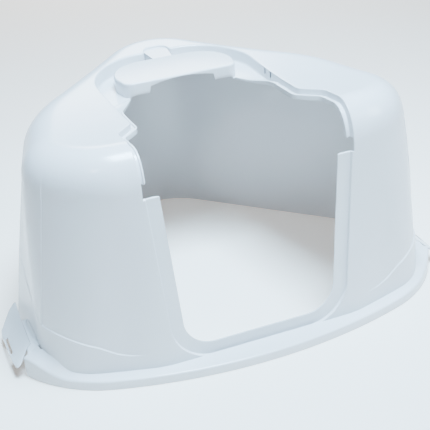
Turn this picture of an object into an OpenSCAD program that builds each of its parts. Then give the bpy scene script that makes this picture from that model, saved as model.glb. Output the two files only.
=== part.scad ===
// Hood of a corner litter tray: one thin moulding that stands on its rim, with a doorway at the
// front, a hatch opening that runs from the doorway back over the roof, a moulded carry handle in
// a recess behind it, and a flexing latch tongue at each side.
// +Z is up and +Y points to the room corner. The origin is the centre of the footprint.

/* [Moulding] */
// Height of the carry handle's top above the floor
hood_h = 297; // [285:1:310]
// Height of the roof's lowest line, across the middle
roof_low = 292.5; // [291:0.5:295]
// Rise of the roof from there to 200 mm ahead of and behind the middle
roof_sag = 15; // [13:0.5:17]
// Thickness of the moulding
wall_t = 2.5; // [2:0.1:3]
// Radius of the edge between walls and roof
edge_r = 44; // [41:1:48]

/* [Plan] */
// Distance from the centre to the sharp rear corner, at the floor
rear_floor = 290; // [285:1:295]
// The same distance at the roof, so that the rear walls lean in
rear_roof = 250; // [246:0.5:254]
// Half width at the front corners, at the floor
front_corner_x = 271; // [266:1:276]
// Depth of the front corners ahead of the centre, at the floor
front_corner_y = 180; // [176:1:184]
// Depth of the doorway plane at the floor, ahead of the centre
door_plane_y = 220.5; // [218:0.5:223]

/* [Doorway] */
// Half width of the doorway at its sill
door_half_sill = 101.5; // [96:0.5:106]
// Half width of the doorway at the top of its jambs
door_half_top = 116; // [110:1:120]
// Height of the sill
sill_z = 29.5; // [26:0.5:33]
// Height of the tops of the jambs
jamb_z = 247; // [243:1:250]
// Radius of the doorway's lower corners
door_r = 40; // [32:1:46]
// Width of the recessed band round the doorway
band_w = 18; // [15:1:20]
// Depth of that band below the outer face
band_depth = 4; // [2:0.5:5]

/* [Hatch opening] */
// Half width of the opening and recess at the back
hatch_half_back = 112; // [108:1:116]
// Half width of the opening at the front
hatch_half_front = 137; // [134:1:140]
// Width of the ledge that carries the hatch
ledge_w = 7.5; // [6:0.5:9]
// Depth of the ledge below the roof
ledge_depth = 8.5; // [7:0.5:10]
// Height of the rib on the ledge's inner edge
rib_h = 2; // [1:0.5:3]
// Depth of the lip that turns down inside the rib
lip_depth = 13; // [12:0.5:15]

/* [Carry handle] */
// Depth of the recess round the handle
recess_depth = 20; // [16:1:24]
// Distance from the centre forward edge of the handle
handle_front_y = 25; // [22:1:28]
// Rear edge of the handle
handle_rear_y = 111; // [106:1:114]
// Rear edge of the recess
recess_rear_y = 134; // [130:1:138]
// Half length of the finger gap under the front edge
finger_half = 46; // [40:1:52]

/* [Flange] */
// Height of the flange at the front
flange_h = 13; // [11:0.5:15]
// Height of the flange where it meets the latches
flange_end_h = 34; // [30:1:38]
// Radius of the flange's front edge, seen from above
flange_front_r = 650; // [620:10:680]
// Radius of the flange's corners, seen from above
flange_corner_r = 170; // [160:5:180]

/* [Latches] */
// Distance of a latch's root from the centre plane
latch_root_x = 283; // [282:0.5:285]
// Distance of a latch's outer edge from the centre plane
latch_edge_x = 311; // [308:1:314]
// Height of the root
latch_root_z = 36; // [34:1:38]
// Height of the outer edge
latch_edge_z = 15; // [13:1:18]
// Length of the catch slot
slot_len = 38; // [34:1:42]
// Width of the catch slot
slot_w = 3; // [2:0.5:4]

/* [Hidden] */

shell_white = [0.88, 0.91, 0.95];
shade_white = [0.80, 0.83, 0.88];
trim_white = [0.92, 0.94, 0.98];

arc_steps = 8;               // facets of a rounded corner
plan_top_z = 290;            // height at which the roof's plan is given
wall_top_z = hood_h - edge_r;
wall_rings = [0, 35, 70, 105, 140, 175, 210, 235, wall_top_z];
roof_rings = [0.1, 0.3, 0.5, 0.7, 0.85];   // size of the roof's inner rings
big = 700;                   // larger than the hood
rear_split_x = 75;           // the rear corner's half width
side_split_y = 15;           // the rear walls meet the side walls here
seat_back_y = -27;           // the hatch seats' rear ends
seat_foot_z = 262;           // the hatch seats' lower ends, above the jambs
plinth_half = 130;           // half width of the strip under the sill
jamb_foot_z = 88;            // the jambs stand on the sill's rounded corners here
finger_z = hood_h - 6;       // lower edge of the handle over the finger gap
recess_z = hood_h - recess_depth;
root_gap = 0.8;              // clearance at the latch's bending line
flange_turn = 17.9;          // where the flange's front arc ends, in degrees
flange_end = 62;             // where its corner arc ends
flange_front_y = 248.75;     // the flange's foremost point
roof_top = hood_h + 20;      // above the whole roof
flange_reach = 40;           // the top plate's width before the hood is cut from it

function between(low, high, z) = low + (high - low) * z / plan_top_z;
function unit(v) = v / norm(v);
function wrap(a) = a > 180 ? a - 360 : a <= -180 ? a + 360 : a;
function bearing(v) = atan2(v[1], v[0]);

// Points of one rounded corner at p, between its neighbours a and b, moved in by inset
function corner(p, a, b, r, inset) =
    let (ua = unit(a - p), ub = unit(b - p), half = acos(ua * ub) / 2,
         c = p + unit(ua + ub) * r / sin(half),
         from = bearing(p + ua * r / tan(half) - c),
         turn = wrap(bearing(p + ub * r / tan(half) - c) - from),
         rr = r - inset * sign(turn))
    [for (i = [0:arc_steps]) c + rr * [cos(from + turn * i / arc_steps), sin(from + turn * i / arc_steps)]];

// A closed outline from corners [point, radius], counter-clockwise
function rounded(cs, inset = 0) =
    let (n = len(cs))
    [for (i = [0:n - 1]) each corner(cs[i][0], cs[(i + n - 1) % n][0], cs[(i + 1) % n][0], cs[i][1], inset)];

function mirrored(v) = [-v[0], v[1]];

// The hood's plan at height z: rear corner, side corners, front corners and doorway plane
function plan(z, inset) =
    let (rear = between(rear_floor, rear_roof, z), side_y = between(4, 39, z), t = z / plan_top_z, belly = 4 * t * (1 - t),
         side = [rear - side_y + 7 * belly, side_y],
         front = [between(front_corner_x, front_corner_x + 8.5, z) - 5 * belly, -between(front_corner_y, front_corner_y + 13, z)],
         door = [134, -between(door_plane_y, door_plane_y - 10.5, z)],
         side_r = between(75, 200, z), front_r = between(78, 108, z))
    rounded([[[0, rear], 100], [mirrored(side), side_r], [mirrored(front), front_r],
             [mirrored(door), 120], [door, 120], [front, front_r], [side, side_r]], inset);

function roof_z(y) = roof_low + roof_sag * pow(y / 200, 2);

// A ring of the surface that lies d below the outer face, at height z on the walls
function wall_ring(z, d) = [for (p = plan(z, d)) concat(p, d > 0 && z == 0 ? -1 : z)];
// The same round the roof edge, at angle a
function edge_ring(a, d) =
    [for (p = plan(wall_top_z, d + (edge_r - d) * (1 - cos(a)))) concat(p, wall_top_z + (roof_z(p[1]) - d - wall_top_z) * sin(a))];
// The same on the roof, shrunk to part k of its width
function roof_ring(k, d) = [for (p = plan(wall_top_z, edge_r)) concat(p * k, roof_z(p[1] * k) - d)];

// The hood as a solid block, its surface moved in by d
module body(d) {
    for (i = [0:len(wall_rings) - 2])
        hull() polyhedron(points = concat(wall_ring(wall_rings[i], d), wall_ring(wall_rings[i + 1], d)),
                          faces = [[for (k = [0:2 * len(plan(0, 0)) - 1]) k]]);
    core = [for (p = plan(wall_top_z - 5, d + 1)) concat(p, wall_top_z - 5)];
    swept(concat([for (k = roof_rings) roof_ring(k, d)], [for (a = [90:-15:0]) edge_ring(a, d)], [core]));
}

// The moulding between two depths below the outer face
module layer(outer, inner) {
    difference() {
        body(outer);
        body(inner);
    }
}

function door_corners() = [[[-door_half_sill, sill_z], door_r], [[door_half_sill, sill_z], door_r],
    [[door_half_top + 3.5, jamb_z + 60], 1], [[-door_half_top - 3.5, jamb_z + 60], 1]];

// The doorway seen from the front, grown by g, as a bar along Y up to height top
module door_bar(g, top) {
    intersection() {
        translate([0, -120, 0]) rotate([90, 0, 0]) linear_extrude(height = 200) polygon(rounded(door_corners(), -g));
        translate([-big / 2, -big / 2, -5]) cube([big, big, top + 5]);
    }
}

function hatch_corners() = [
    [[134.5, -300], 1], [[hatch_half_front, -165], 150], [[hatch_half_front, -131], 22],
    [[hatch_half_back, -103], 16], [[hatch_half_back + 2, recess_rear_y], 85],
    [[-hatch_half_back - 2, recess_rear_y], 85], [[-hatch_half_back, -103], 16],
    [[-hatch_half_front, -131], 22], [[-hatch_half_front, -165], 150], [[-134.5, -300], 1]];

// The hatch opening and recess seen from above, moved in by inset
module hatch_outline(inset) {
    polygon(rounded(hatch_corners(), inset));
}

module hatch_bar(inset) {
    translate([0, 0, jamb_z]) linear_extrude(height = 100) hatch_outline(inset);
}

module thumb_bump(inset) {
    translate([0, recess_rear_y]) circle(r = 17 - inset, $fn = 48);
}

module zone(low, high) {
    translate(low) cube(high - low);
}

module rear_corner() {
    color(shell_white) intersection() {
        layer(0, wall_t);
        zone([-rear_split_x, 100, 0], [rear_split_x, big / 2, wall_top_z]);
    }
}

module rear_wall() {
    color(shell_white) intersection() {
        layer(0, wall_t);
        zone([rear_split_x, side_split_y, 0], [big / 2, big / 2, wall_top_z]);
    }
}

module right_rear_wall() {
    rear_wall();
}

module left_rear_wall() {
    mirror([1, 0, 0]) rear_wall();
}

// The side and front corner, with the land that the latch bends from
module side_wall() {
    color(shell_white) union() {
        difference() {
            intersection() {
                layer(0, wall_t);
                zone([0, -big / 2, 0], [big / 2, side_split_y, wall_top_z]);
            }
            door_bar(band_w, jamb_z);
            zone([0, -big / 2, -1], [plinth_half, -150, sill_z]);
            zone([0, -big / 2, jamb_z], [134.5, -150, hood_h]);
        }
        difference() {
            zone([latch_root_x - 12, -121, latch_root_z - wall_t], [latch_root_x - root_gap, -66, latch_root_z]);
            body(1);
        }
    }
}

module right_side_wall() {
    side_wall();
}

module left_side_wall() {
    mirror([1, 0, 0]) side_wall();
}

// Part of the recessed band round the doorway, between two corner points
module door_band(low, high) {
    inner = band_depth + wall_t;
    difference() {
        intersection() {
            union() {
                layer(band_depth, inner);
                difference() {
                    layer(0, inner);
                    door_bar(band_w - wall_t, jamb_z);
                }
            }
            door_bar(band_w, jamb_z);
            zone(low, high);
        }
        door_bar(0, jamb_z + 1);
    }
}

// The band and the wall strip under the doorway
module door_sill() {
    color(shade_white) union() {
        door_band([-big / 2, -big / 2, 0], [big / 2, 0, jamb_foot_z]);
        difference() {
            intersection() {
                layer(0, wall_t);
                zone([-plinth_half, -big / 2, 0], [plinth_half, -150, sill_z]);
            }
            door_bar(band_w - 1, jamb_z);
        }
    }
}

module right_jamb() {
    color(shade_white) door_band([60, -big / 2, jamb_foot_z], [200, -100, jamb_z - 0.5]);
}

module left_jamb() {
    mirror([1, 0, 0]) right_jamb();
}

module roof() {
    color(trim_white) difference() {
        intersection() {
            layer(0, wall_t);
            zone([-big / 2, -big / 2, wall_top_z], [big / 2, big / 2, roof_top]);
        }
        hatch_bar(0);
        translate([0, 0, jamb_z]) linear_extrude(height = 100) thumb_bump(0);
        zone([-134.5, -big / 2, jamb_z], [134.5, -150, hood_h - edge_r + 8]);
    }
}

// Everything below the roof, from the hatch seats to the rear corner
module under_roof() {
    span = [for (y = [-150:25:200]) [y, roof_z(y)]];
    translate([-150, 0, 0]) rotate([90, 0, 90]) linear_extrude(height = 300)
        polygon(concat([[200, 200], [-150, 200]], span));
}

handle_corners = [[[-80, handle_front_y], 14], [[80, handle_front_y], 14],
                  [[95, handle_rear_y], 52], [[-95, handle_rear_y], 52]];

// Floor and wall of the recess, with the two hinge slots at each side and the rear land
module handle_recess() {
    skin_z = hood_h - wall_t;
    color(shade_white) difference() {
        intersection() {
            under_roof();
            union() {
                translate([0, 0, recess_z - wall_t]) linear_extrude(height = wall_t) difference() {
                    hatch_outline(wall_t);
                    polygon(rounded(handle_corners));
                }
                translate([0, 0, recess_z - wall_t]) linear_extrude(height = roof_top - recess_z) difference() {
                    union() {
                        hatch_outline(0);
                        thumb_bump(0);
                    }
                    hatch_outline(wall_t);
                    thumb_bump(wall_t);
                }
                translate([0, 0, recess_z - wall_t]) linear_extrude(height = wall_t) thumb_bump(wall_t);
                translate([0, 0, skin_z - 3]) linear_extrude(height = wall_t) difference() {
                    translate([-14, handle_rear_y - 8]) square([28, recess_rear_y + 16 - handle_rear_y]);
                    polygon(rounded(handle_corners));
                }
            }
        }
        // the opening's rear edge, cut slantwise from the handle's feet to the seats
        translate([0, 0, recess_z - 5]) linear_extrude(height = 4 + 5)
            polygon([[-74, handle_front_y + 1], [-106, -45], [-106, -big / 2], [106, -big / 2], [106, -45],
                     [74, handle_front_y + 1]]);
        zone([-big / 2, -big / 2, recess_z - 5], [big / 2, seat_back_y, roof_top]);
        for (side = [-1, 1], y = [2, -17])
            translate([side * hatch_half_back - 6, y - 1.5, hood_h - 14]) cube([12, 3, 9]);
    }
}

// A shallow cap with a skirt down to the recess floor, lifted in front to let fingers in
module carry_handle() {
    color(trim_white) difference() {
        translate([0, 0, recess_z - wall_t]) linear_extrude(height = hood_h - recess_z + wall_t)
            polygon(rounded(handle_corners));
        translate([0, 0, recess_z - wall_t - 1]) linear_extrude(height = hood_h - recess_z + 1)
            polygon(rounded(handle_corners, wall_t));
        zone([-finger_half, handle_front_y - 5, recess_z - 5], [finger_half, handle_front_y + 5, finger_z]);
    }
}

// Step, ledge, rib and down-turned lip along one side of the hatch opening
module hatch_seat() {
    color(shade_white) intersection() {
        union() {
            difference() {
                intersection() {
                    layer(0, ledge_depth + wall_t);
                    hatch_bar(0);
                }
                hatch_bar(wall_t);
            }
            difference() {
                intersection() {
                    layer(ledge_depth, ledge_depth + wall_t);
                    hatch_bar(0);
                }
                hatch_bar(ledge_w);
            }
            difference() {
                intersection() {
                    layer(ledge_depth - rib_h, lip_depth);
                    hatch_bar(ledge_w - wall_t);
                }
                hatch_bar(ledge_w);
            }
        }
        zone([60, -big / 2, seat_foot_z], [big / 2, seat_back_y, roof_top]);
    }
}

module right_hatch_seat() {
    hatch_seat();
}

module left_hatch_seat() {
    mirror([1, 0, 0]) hatch_seat();
}

// The flange's outer edge at angle a from the front, moved in by w
function flange_edge(a, w) =
    let (front_c = [0, flange_front_r - flange_front_y],
         join = front_c + (flange_front_r - flange_corner_r) * [sin(flange_turn), -cos(flange_turn)])
    a <= flange_turn ? front_c + (flange_front_r - w) * [sin(a), -cos(a)]
                     : join + (flange_corner_r - w) * [sin(a), -cos(a)];

function smooth(t) = let (u = min(max(t, 0), 1)) u * u * (3 - 2 * u);
function lip_top(a) = flange_h + 7 * smooth((abs(a) - 30) / 30);
function wall_top(a) = flange_h + (flange_end_h - flange_h) * smooth((abs(a) - 20) / 34);
// Cross-section of the flange at angle a: the lip, and the top plate running in under the wall
function flange_section(a) =
    let (lip = lip_top(a), top = wall_top(a), at = function (w, z) concat(side_of(a, flange_edge(abs(a), w)), z))
    [at(0, 0), at(wall_t, 0), at(wall_t, lip - wall_t), at(flange_reach, top - wall_t), at(flange_reach, top), at(0, lip)];

function side_of(a, p) = a < 0 ? mirrored(p) : p;

// A closed solid through a row of like sections
module swept(sections) {
    n = len(sections[0]);
    last = (len(sections) - 1) * n;
    sides = [for (s = [0:len(sections) - 2], k = [0:n - 1])
        let (p = s * n + k, q = s * n + (k + 1) % n) each [[p, q, p + n], [q, q + n, p + n]]];
    polyhedron(points = [for (s = sections) each s],
               faces = concat([[for (k = [n - 1:-1:0]) k]], sides, [[for (k = [0:n - 1]) last + k]]));
}

module front_flange() {
    corner_stops = [for (i = [1:12]) flange_turn + (flange_end - flange_turn) * i / 12];
    right_stops = concat([for (i = [1:5]) flange_turn * i / 5], corner_stops);
    stops = concat([for (i = [len(right_stops) - 1:-1:0]) -right_stops[i]], [0], right_stops);
    color(shell_white) difference() {
        swept([for (a = stops) flange_section(a)]);
        body(0);
    }
}

// Seen from above, clockwise from the rear end of the root
latch_plan = [[latch_root_x, -66], [281.5, -26], [280, -12], [293, -22], [latch_edge_x - 1, -48], [latch_edge_x, -60],
              [latch_edge_x - 1.5, -112], [latch_edge_x - 2.5, -128], [305.5, -149], [289.5, -127], [latch_root_x, -121]];

module latch() {
    drop = latch_root_z - latch_edge_z;
    color(shell_white) difference() {
        intersection() {
            translate([0, 20, 0]) rotate([90, 0, 0]) linear_extrude(height = 180)
                polygon([[latch_root_x - 5, latch_root_z + 2], [latch_root_x, latch_root_z], [latch_edge_x + 1, latch_edge_z],
                         [latch_edge_x + 1, latch_edge_z - wall_t], [latch_root_x, latch_root_z - wall_t],
                         [latch_root_x - 5, latch_root_z + 2 - wall_t]]);
            linear_extrude(height = 60) polygon(latch_plan);
        }
        translate([latch_edge_x - 6, -71 - slot_len, 0]) cube([slot_w, slot_len, 60]);
    }
}

module right_latch() {
    latch();
}

module left_latch() {
    mirror([1, 0, 0]) latch();
}

rear_corner();
left_rear_wall();
right_rear_wall();
left_side_wall();
right_side_wall();
door_sill();
left_jamb();
right_jamb();
roof();
handle_recess();
carry_handle();
left_hatch_seat();
right_hatch_seat();
front_flange();
left_latch();
right_latch();
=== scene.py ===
"""Visual model of a corner litter tray hood: one glossy moulding with two flexing tongues."""

import math

import bmesh
import bpy
import numpy as np
from mathutils import Matrix, Vector


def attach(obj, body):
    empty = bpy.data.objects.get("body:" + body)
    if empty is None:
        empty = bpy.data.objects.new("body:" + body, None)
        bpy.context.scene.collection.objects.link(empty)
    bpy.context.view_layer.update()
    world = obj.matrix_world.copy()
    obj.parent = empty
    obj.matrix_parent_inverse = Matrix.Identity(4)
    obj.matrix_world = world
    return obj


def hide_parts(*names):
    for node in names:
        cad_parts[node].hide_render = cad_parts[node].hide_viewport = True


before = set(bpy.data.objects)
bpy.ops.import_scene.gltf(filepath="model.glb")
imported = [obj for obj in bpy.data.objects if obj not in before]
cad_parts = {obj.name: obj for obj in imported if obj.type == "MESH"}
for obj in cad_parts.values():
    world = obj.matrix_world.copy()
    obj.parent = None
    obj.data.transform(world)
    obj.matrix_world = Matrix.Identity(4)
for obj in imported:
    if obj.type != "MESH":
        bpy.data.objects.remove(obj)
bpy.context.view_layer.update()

MM = 0.001
TAU = 2 * math.pi

# ---------------------------------------------------------------- the hood's surface, in millimetres
EDGE_R = 44.0
WALL_TOP = 253.0
PLAN_TOP = 290.0
WALL_T = 2.5
EDGE_ARC = EDGE_R * math.pi / 2
LEAN_FADE = 11.0            # the wall's lean dies out over this height above the wall top
FRONT_MID = 7.5             # perimeter place of the middle of the front
FOOT_R = 0.6                # rounding of the wall's lower edge


def smooth(t):
    t = np.clip(t, 0, 1)
    return t * t * (3 - 2 * t)


def ramp(x, low, high):
    return smooth((np.asarray(x, float) - low) / (high - low))


def roof_z(y):
    return 292.5 + 15 * (y / 200) ** 2


def plan_corners(z):
    """Corner points (n, 7, 2) and radii (n, 7) of the plan at heights z, counter-clockwise from the rear."""
    z = np.asarray(z, float)
    t = z / PLAN_TOP
    belly = 4 * t * (1 - t)
    rear = 290 - 40 * t
    side_y = 4 + 35 * t
    side_x = rear - side_y + 7 * belly
    front_x = 271 + 8.5 * t - 5 * belly
    front_y = -(180 + 13 * t)
    door_y = -(220.5 - 10.5 * t)
    o = np.zeros_like(t)
    pts = np.stack([np.stack(p, -1) for p in (
        (o, rear), (-side_x, side_y), (-front_x, front_y), (o - 134, door_y),
        (o + 134, door_y), (front_x, front_y), (side_x, side_y))], 1)
    side_r, front_r = 75 + 125 * t, 78 + 30 * t
    rad = np.stack([o + 100, side_r, front_r, o + 120, o + 120, front_r, side_r], 1)
    return pts, rad


def unit(v):
    return v / np.linalg.norm(v, axis=-1, keepdims=True)


def arcs(pts, rad, k, inset):
    """Centre, start angle, turn and radius of the rounded corner k (an index for each row)."""
    n = np.arange(len(k))
    count = pts.shape[1]
    p, a, b, r = pts[n, k], pts[n, (k - 1) % count], pts[n, (k + 1) % count], rad[n, k]
    ua, ub = unit(a - p), unit(b - p)
    half = np.arccos(np.clip((ua * ub).sum(-1), -1, 1)) / 2
    c = p + unit(ua + ub) * (r / np.sin(half))[:, None]
    v0 = p + ua * (r / np.tan(half))[:, None] - c
    v1 = p + ub * (r / np.tan(half))[:, None] - c
    start = np.arctan2(v0[:, 1], v0[:, 0])
    turn = (np.arctan2(v1[:, 1], v1[:, 0]) - start + math.pi) % TAU - math.pi
    return c, start, turn, r - inset * np.sign(turn)


def spin(angle):
    return np.stack([np.cos(angle), np.sin(angle)], -1)


def plan_point(u, z, inset):
    """Points on the plan at height z, moved in by inset.

    The perimeter place u grows by 2 for each corner: 1 for its arc, then 1 for the straight after it.
    """
    u = np.asarray(u, float) % 14
    z, inset = np.broadcast_to(z, u.shape), np.broadcast_to(inset, u.shape)
    pts, rad = plan_corners(z)
    k = (u // 2).astype(int)
    f = u - 2 * k
    c, start, turn, r = arcs(pts, rad, k, inset)
    c2, start2, _, r2 = arcs(pts, rad, (k + 1) % 7, inset)
    g = np.clip(f, 0, 1)
    on_arc = c + r[:, None] * spin(start + turn * g)
    end = c2 + r2[:, None] * spin(start2)
    h = np.clip(f - 1, 0, 1)[:, None]
    return on_arc * (1 - h) + end * h


def lean_height(a):
    return WALL_TOP + LEAN_FADE * (1 - np.exp(-EDGE_R * a / LEAN_FADE))


LEAN_TOP = float(lean_height(math.pi / 2))


def face(u, s):
    """The outer face at perimeter place u and distance s down from the edge of the flat roof."""
    u, s = np.asarray(u, float), np.asarray(s, float)
    a = np.clip(1 - s / EDGE_ARC, 0, 1) * math.pi / 2
    below = np.maximum(s - EDGE_ARC, 0)
    z_plan = np.where(a > 0, lean_height(a), WALL_TOP - below)
    p = plan_point(u, z_plan, EDGE_R * (1 - np.cos(a)))
    z = np.where(a > 0, WALL_TOP + (roof_z(p[:, 1]) - WALL_TOP) * np.sin(a), WALL_TOP - below)
    return np.c_[p, z]


# The flat map: the roof as seen from above, with the walls folded out round it
_pts, _rad = plan_corners(np.full(7, LEAN_TOP))
_ARC = arcs(_pts, _rad, np.arange(7), np.full(7, EDGE_R))


def to_map(u, s):
    u = np.asarray(u, float) % 14
    k = (u // 2).astype(int)
    _, start, turn, _ = [v[k] for v in _ARC]
    f = np.clip(u - 2 * k, 0, 1)
    return plan_point(u, LEAN_TOP, EDGE_R) + spin(start + turn * f) * np.asarray(s, float)[:, None]


def from_map(q):
    """Perimeter place u and distance s of map points; s is below 0 on the flat roof."""
    u = np.zeros(len(q))
    s = np.full(len(q), -1e3)
    c, start, turn, r = _ARC
    for k in range(7):
        d = q - c[k]
        f = ((np.arctan2(d[:, 1], d[:, 0]) - start[k] + math.pi) % TAU - math.pi) / turn[k]
        dist = np.linalg.norm(d, axis=1) - r[k]
        hit = (f >= 0) & (f <= 1) & (dist > s)
        u[hit], s[hit] = 2 * k + f[hit], dist[hit]
        n = spin(start[k] + turn[k])
        p0 = c[k] + r[k] * n
        p1 = c[(k + 1) % 7] + r[(k + 1) % 7] * n
        f = ((q - p0) @ (p1 - p0)) / ((p1 - p0) @ (p1 - p0))
        dist = (q - p0) @ n
        hit = (f > 0) & (f < 1) & (dist > s)
        u[hit], s[hit] = 2 * k + 1 + f[hit], dist[hit]
    return u, s


def surface(q):
    """The outer face over map points."""
    u, s = from_map(q)
    out = np.c_[q, roof_z(q[:, 1])]
    on_wall = s > 0
    out[on_wall] = face(u[on_wall], s[on_wall])
    return out


def surface_normal(q, eps=0.4):
    ex, ey = np.array([eps, 0]), np.array([0, eps])
    return unit(np.cross(surface(q + ex) - surface(q - ex), surface(q + ey) - surface(q - ey)))


# ---------------------------------------------------------------- rounded outlines
def outline(corners, inset=0.0, step=1.5, closed=True):
    """Points of a polygon with rounded corners [(x, y), r], about step apart."""
    pts = np.array([c[0] for c in corners], float)[None].repeat(len(corners), 0)
    rad = np.array([c[1] for c in corners], float)[None].repeat(len(corners), 0)
    k = np.arange(len(corners))
    c, start, turn, r = arcs(pts, rad, k, np.full(len(k), inset))
    out = []
    for i in k:
        n = max(3, int(abs(turn[i] * r[i]) / step) + 1)
        out.append(c[i] + r[i] * spin(start[i] + turn[i] * np.linspace(0, 1, n)))
        if i < len(k) - 1 or closed:
            j = (i + 1) % len(k)
            a, b = out[-1][-1], c[j] + r[j] * spin(start[j])
            m = int(np.linalg.norm(b - a) / step)
            if m > 1:
                out.append(a + (b - a) * (np.arange(1, m) / m)[:, None])
    return np.concatenate(out)


def resample(p, spacing):
    """Points along polyline p at the running distances that spacing(distance) gives."""
    d = np.r_[0, np.cumsum(np.linalg.norm(np.diff(p, axis=0), axis=1))]
    at = [0.0]
    while at[-1] < d[-1]:
        at.append(at[-1] + spacing(at[-1]))
    at = np.array(at) * d[-1] / at[-1]
    return np.stack([np.interp(at, d, p[:, i]) for i in range(p.shape[1])], 1)


# ---------------------------------------------------------------- edge of the big opening, right half
DOOR_FOOT, DOOR_HEAD = (101.5, 29.5), (119.5, 307.0)     # half width and height where a jamb's line ends
DOOR_R, CORNER_TOP = 40.0, 70.0                          # lower corners, and the height by which they end
DOOR_Y = -211.0                                          # depth of the face at the jambs' tops
BAND_W, BAND_D = 18.0, 4.0
JAMB_Z, SEAT_Z = 244.0, 261.0                            # height of the band's top and of the seat's foot
LEDGE_W, LEDGE_D, LIP_D = 7.5, 8.5, 13.5
RIB_H, RIB_W = 2.0, 2.5
SEAT_END = -46.0                                         # depth y at which the seat passes into the recess
PAN_Z, GRIP_Z, BUMP_Z = 277.0, 297.0, 297.9
BUMP_HALF, BUMP_Y = 15.2, 104.0                          # half width of the thumb bump and where it ends
# rounded outlines seen from above, as (corner, radius): the carry handle, and the opening with its recess
GRIP = [((-80, 25), 14), ((80, 25), 14), ((95, 111), 52), ((-95, 111), 52)]
HATCH_RIGHT = [((134.5, -300), 1), ((137, -165), 150), ((137, -131), 22), ((112, -103), 16),
               ((114, 134), 85), ((19, 134), 4.5), ((17, 151), 12.5)]
HATCH = HATCH_RIGHT + [((-x, y), r) for (x, y), r in HATCH_RIGHT[::-1]]
# A column describes the edge's section at one place: its point and inward direction in the map, its width,
# the radius of the outer edge, the wall's draft, the radius at its foot, the depths of the foot and of the
# inner end, the rib's height and width, the depths of the lip and of the underside, and how level it lies.
FIELDS = "at_x at_y to_x to_y width edge_r draft foot_r depth tip rib rib_w lip under level".split()
F = {name: i for i, name in enumerate(FIELDS)}
FRONT_U = np.linspace(FRONT_MID, 10.6, 700)


def drop_to(z, y):
    """Distance s at which the face is at height z, on the wall or the rounded edge, near depth y."""
    sin_a = np.clip((z - WALL_TOP) / (roof_z(y) - WALL_TOP), 0, 1)
    return np.where(z > WALL_TOP, EDGE_ARC * (1 - np.arcsin(sin_a) / (math.pi / 2)), EDGE_ARC + WALL_TOP - z)


def front_map(x, s):
    """Map points on the front, at half width x (numbers, or a function of depth) and distance s."""
    out = []
    for i, si in enumerate(s):
        f = face(FRONT_U, np.full(len(FRONT_U), si))
        gap = f[:, 0] - (x(f[:, 1]) if callable(x) else x[i])
        j = max(1, int(np.argmax(gap > 0)))
        t = np.clip(-gap[j - 1] / (gap[j] - gap[j - 1]), 0, 1)
        out.append(FRONT_U[j - 1] * (1 - t) + FRONT_U[j] * t)
    return to_map(np.array(out), s)


def inward(b):
    """Unit vectors to the left of the run of points b."""
    d = np.gradient(b, axis=0)
    return unit(np.c_[-d[:, 1], d[:, 0]])


def columns(b, e, **values):
    rows = np.zeros((len(b), len(FIELDS)))
    rows[:, :2], rows[:, 2:4] = b, e
    for name, v in values.items():
        rows[:, F[name]] = v
    return rows


def door_curve(grow, n):
    """Half of the doorway's outline grown by grow, as (x, height), from the sill's middle to the top."""
    (foot_x, foot_z), (head_x, head_z) = DOOR_FOOT, DOOR_HEAD
    corners = [((-foot_x, foot_z), DOOR_R), (DOOR_FOOT, DOOR_R), (DOOR_HEAD, 1), ((-head_x, head_z), 1)]
    p = outline(corners, -grow, 1.0)
    low = p[(p[:, 1] < CORNER_TOP) & (p[:, 0] > 0.01)]
    # along the sill by x, then up the corner by height
    on_sill = low[:, 1] < low[:, 1].min() + 1e-6
    low = low[np.lexsort((low[:, 1], np.where(on_sill, low[:, 0], 2 * head_x)))]
    slope = (head_x - foot_x) / (head_z - foot_z)
    top = [low[-1, 0] + slope * (JAMB_Z - low[-1, 1]), JAMB_Z]
    p = np.vstack([[0, low[0, 1]], low, top])
    d = np.r_[0, np.cumsum(np.linalg.norm(np.diff(p, axis=0), axis=1))]
    at = np.linspace(0, d[-1], n)
    return np.stack([np.interp(at, d, p[:, i]) for i in (0, 1)], 1)


def band_columns():
    outer = door_curve(BAND_W, 300)
    into = inward(outer)
    into[0] = (0, 1)
    level = ramp(outer[:, 1], 215, 240)[:, None]     # the band's end is cut level, not square to its edge
    into = unit(into * (1 - level) + np.array([-1.0, 0.0]) * level)
    inner = outer + BAND_W * into
    near, far = (front_map(p[:, 0], drop_to(p[:, 1], DOOR_Y)) for p in (outer, inner))
    near[0, 0] = far[0, 0] = 0.0
    under = BAND_D + WALL_T
    return columns(near, unit(far - near), width=np.linalg.norm(far - near, axis=1), edge_r=1.0, draft=0.4,
                   foot_r=1.0, depth=BAND_D, tip=BAND_D, lip=under, under=under)


def seat_line():
    """The hatch seat's outer line in the map, from the jamb's top to the middle of the thumb bump."""
    p = outline(HATCH, 0, 0.8)
    p = p[(p[:, 0] >= -1e-6) & (p[:, 1] > -290)]
    p = p[np.argmax(np.linalg.norm(np.diff(p, axis=0), axis=1) > 20) + 1:] if p[0, 1] > 0 else p
    front = p[(p[:, 1] < -140) & (p[:, 0] > 100)]
    climb = front_map(lambda y: np.interp(y, front[:, 1], front[:, 0]),
                      np.linspace(float(drop_to(JAMB_Z, DOOR_Y)), 0.5, 110))
    flat = p[(p[:, 1] > climb[-1, 1] + 0.5)]
    return resample(np.vstack([climb, flat, [0, 151]]), lambda d: 0.85)


GRIP_LOOP = outline(GRIP, 1.3, 1.0)


def recess_inner(start):
    """The pan's inner line: the opening's rear edge, then inside the handle, then the thumb bump's end."""
    g = GRIP_LOOP[GRIP_LOOP[:, 0] > 0]
    g = np.roll(g, -int(np.argmin(np.linalg.norm(g - (75.0, 26.3), axis=1))), axis=0)
    g = g[:int(np.argmin(g[:, 0] + 1e3 * (g[:, 1] < 100))) + 1]
    side = [(102.5, -33), (98, -22), (93, -11.5), (88, -2), (83, 8), (78, 17.5)]
    return np.vstack([start, side, g, (0, BUMP_Y)])


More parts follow.
